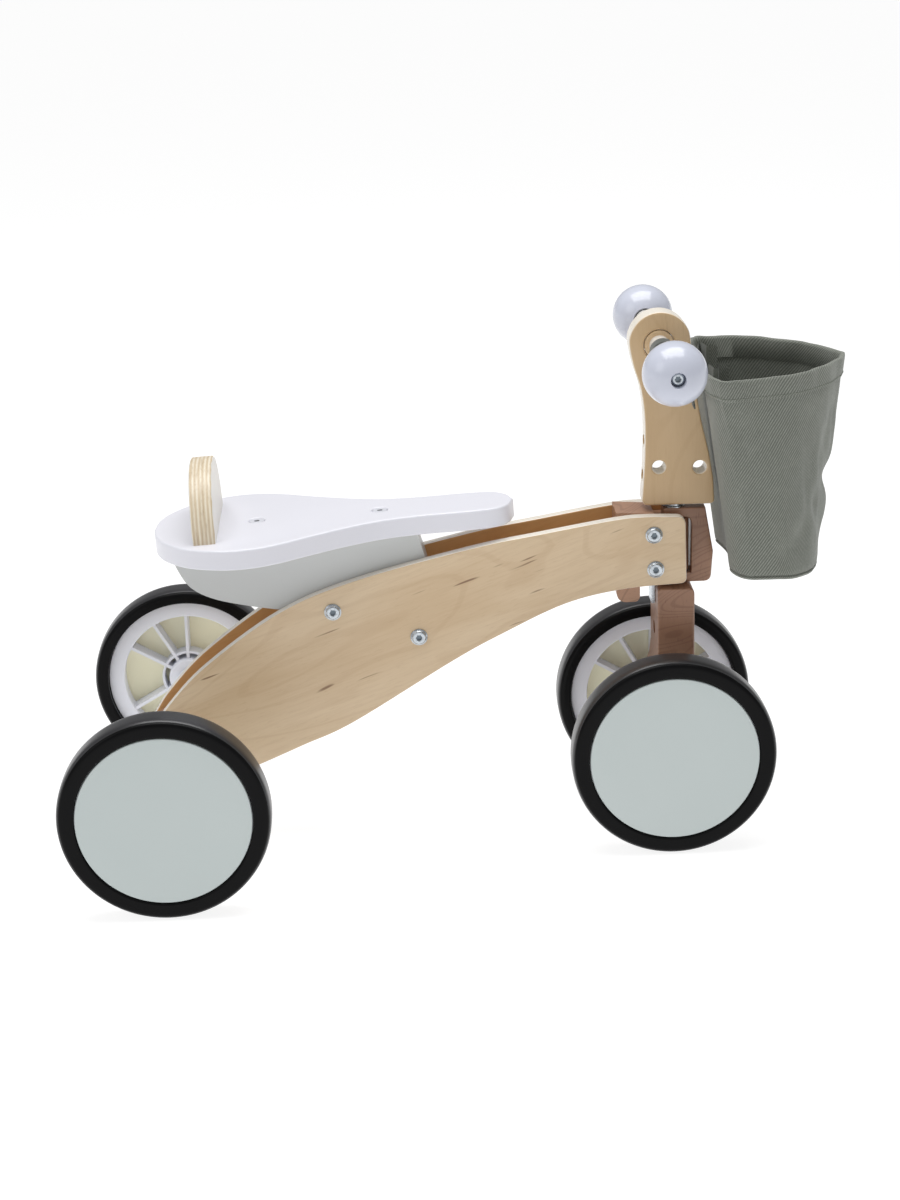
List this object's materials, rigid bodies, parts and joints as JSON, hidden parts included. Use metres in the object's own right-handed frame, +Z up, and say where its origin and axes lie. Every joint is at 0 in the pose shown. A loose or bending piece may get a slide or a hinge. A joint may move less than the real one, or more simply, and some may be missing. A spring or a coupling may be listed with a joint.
{
  "type": "balance bike",
  "caption": "Low four-wheeled wooden push bike for a toddler: arched side panels, pear-shaped seat with backrest, plate post with ball-ended bar and a cloth basket.",
  "frame": {"origin": "on the floor under the middle of the whole outline", "axes": "+X forward, +Y to the rider's left, +Z up"},
  "size_m": [0.594, 0.3236, 0.4063],
  "materials": {
    "veneer": "satin",
    "beech": "satin",
    "white_paint": "satin",
    "tyre": "satin",
    "hub_plastic": "matte",
    "cover": "matte",
    "zinc": "polished",
    "grip_paint": "gloss",
    "cloth": "matte",
    "strap": "matte"
  },
  "bodies": {
    "frame": {"side_panel_right": "veneer", "side_panel_left": "veneer", "head_block": "beech", "seat_support": "white_paint", "seat_plate": "white_paint", "backrest": "white_paint", "rear_axle_block": "beech", "seat_screw_rear": "zinc", "seat_screw_front": "zinc", "rear_axle": "zinc", "frame_bolt_right_1": "zinc", "frame_bolt_right_2": "zinc", "frame_bolt_right_3": "zinc", "frame_bolt_right_4": "zinc", "rear_sleeve_right": "hub_plastic", "rear_axle_nut_right": "zinc", "frame_bolt_left_1": "zinc", "frame_bolt_left_2": "zinc", "frame_bolt_left_3": "zinc", "frame_bolt_left_4": "zinc", "rear_sleeve_left": "hub_plastic", "rear_axle_nut_left": "zinc"},
    "steering": {"steering_post": "veneer", "steering_bracket": "beech", "fork_block": "beech", "steering_bolt": "zinc", "steering_washer": "zinc", "steering_barrel_nut": "zinc", "steering_stop_plate": "zinc", "post_bolt_upper": "zinc", "post_bolt_lower": "zinc", "handlebar_dowel": "grip_paint", "front_axle": "zinc", "basket": "cloth", "grip_ball_right": "grip_paint", "grip_bolt_right": "zinc", "front_sleeve_right": "hub_plastic", "front_axle_nut_right": "zinc", "basket_strap_right": "strap", "grip_ball_left": "grip_paint", "grip_bolt_left": "zinc", "front_sleeve_left": "hub_plastic", "front_axle_nut_left": "zinc", "basket_strap_left": "strap"},
    "rear_wheel_right": {"rear_tyre_right": "tyre", "rear_hub_right": "hub_plastic", "rear_cover_right": "cover"},
    "rear_wheel_left": {"rear_tyre_left": "tyre", "rear_hub_left": "hub_plastic", "rear_cover_left": "cover"},
    "front_wheel_right": {"front_tyre_right": "tyre", "front_hub_right": "hub_plastic", "front_cover_right": "cover"},
    "front_wheel_left": {"front_tyre_left": "tyre", "front_hub_left": "hub_plastic", "front_cover_left": "cover"}
  },
  "joints": [
    {"name": "steering_turn", "type": "hinge", "parent": "frame", "child": "steering", "pos_m": [0.171, 0, 0.225], "axis": [0, 0, 1], "range_deg": [-25, 25]},
    {"name": "rear_wheel_right_spin", "type": "hinge", "parent": "frame", "child": "rear_wheel_right", "pos_m": [-0.219, -0.1488, 0.078], "axis": [0, 1, 0], "continuous": true},
    {"name": "rear_wheel_left_spin", "type": "hinge", "parent": "frame", "child": "rear_wheel_left", "pos_m": [-0.219, 0.1488, 0.078], "axis": [0, 1, 0], "continuous": true},
    {"name": "front_wheel_right_spin", "type": "hinge", "parent": "steering", "child": "front_wheel_right", "pos_m": [0.1619, -0.0697, 0.078], "axis": [0, 1, 0], "continuous": true},
    {"name": "front_wheel_left_spin", "type": "hinge", "parent": "steering", "child": "front_wheel_left", "pos_m": [0.1619, 0.0697, 0.078], "axis": [0, 1, 0], "continuous": true}
  ]
}
